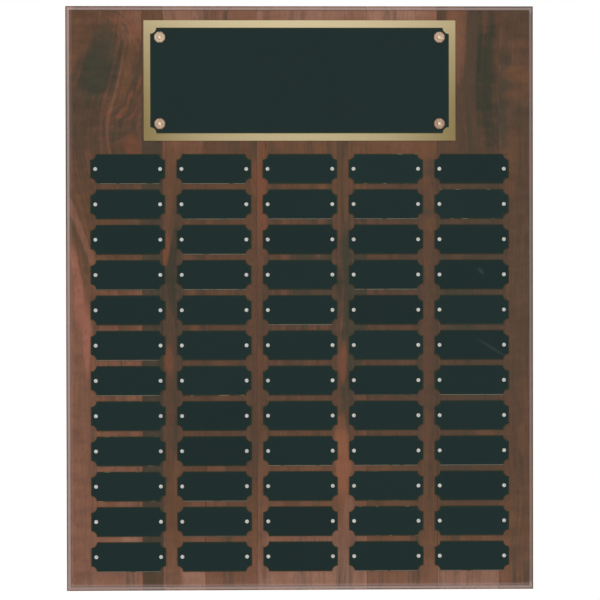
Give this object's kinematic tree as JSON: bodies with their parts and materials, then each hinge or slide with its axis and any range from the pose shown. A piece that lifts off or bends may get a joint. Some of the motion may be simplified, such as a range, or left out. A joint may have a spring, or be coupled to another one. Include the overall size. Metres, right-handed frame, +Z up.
{
  "type": "perpetual plaque",
  "caption": "Glued walnut wall board with a coved edge, a brass-bordered black header plate on rosettes, rows of scooped black name plates on domed pins, and a keyhole hanger let into the back.",
  "frame": {"origin": "centre of the board's back face, on the wall plane", "axes": "+X to the right and +Z up as it hangs, seen from in front; the front faces -Y and the back +Y"},
  "size_m": [0.4064, 0.0222, 0.508],
  "materials": {
    "walnut": "clear satin lacquer",
    "black_brass": "black lacquer on brass sheet",
    "satin_brass": "satin brushed, lacquered",
    "rosette_brass": "stamped, polished",
    "nickel_pin": "nickel plated, polished",
    "zinc_steel": "zinc plated"
  },
  "bodies": {
    "root": {"walnut_stave_1": "walnut", "walnut_stave_2": "walnut", "walnut_stave_3": "walnut", "walnut_stave_4": "walnut", "walnut_stave_5": "walnut", "walnut_stave_6": "walnut", "walnut_stave_7": "walnut", "walnut_stave_8": "walnut", "header_backing_plate": "satin_brass", "header_plate": "black_brass", "header_rosette_1": "rosette_brass", "header_rosette_2": "rosette_brass", "header_rosette_3": "rosette_brass", "header_rosette_4": "rosette_brass", "header_rosette_pins": "rosette_brass", "name_plates_row_01": "black_brass", "name_plates_row_02": "black_brass", "name_plates_row_03": "black_brass", "name_plates_row_04": "black_brass", "name_plates_row_05": "black_brass", "name_plates_row_06": "black_brass", "name_plates_row_07": "black_brass", "name_plates_row_08": "black_brass", "name_plates_row_09": "black_brass", "name_plates_row_10": "black_brass", "name_plates_row_11": "black_brass", "name_plates_row_12": "black_brass", "name_plate_pins_row_01": "nickel_pin", "name_plate_pins_row_02": "nickel_pin", "name_plate_pins_row_03": "nickel_pin", "name_plate_pins_row_04": "nickel_pin", "name_plate_pins_row_05": "nickel_pin", "name_plate_pins_row_06": "nickel_pin", "name_plate_pins_row_07": "nickel_pin", "name_plate_pins_row_08": "nickel_pin", "name_plate_pins_row_09": "nickel_pin", "name_plate_pins_row_10": "nickel_pin", "name_plate_pins_row_11": "nickel_pin", "name_plate_pins_row_12": "nickel_pin", "keyhole_hanger_plate": "zinc_steel", "hanger_screws": "zinc_steel"}
  },
  "joints": []
}
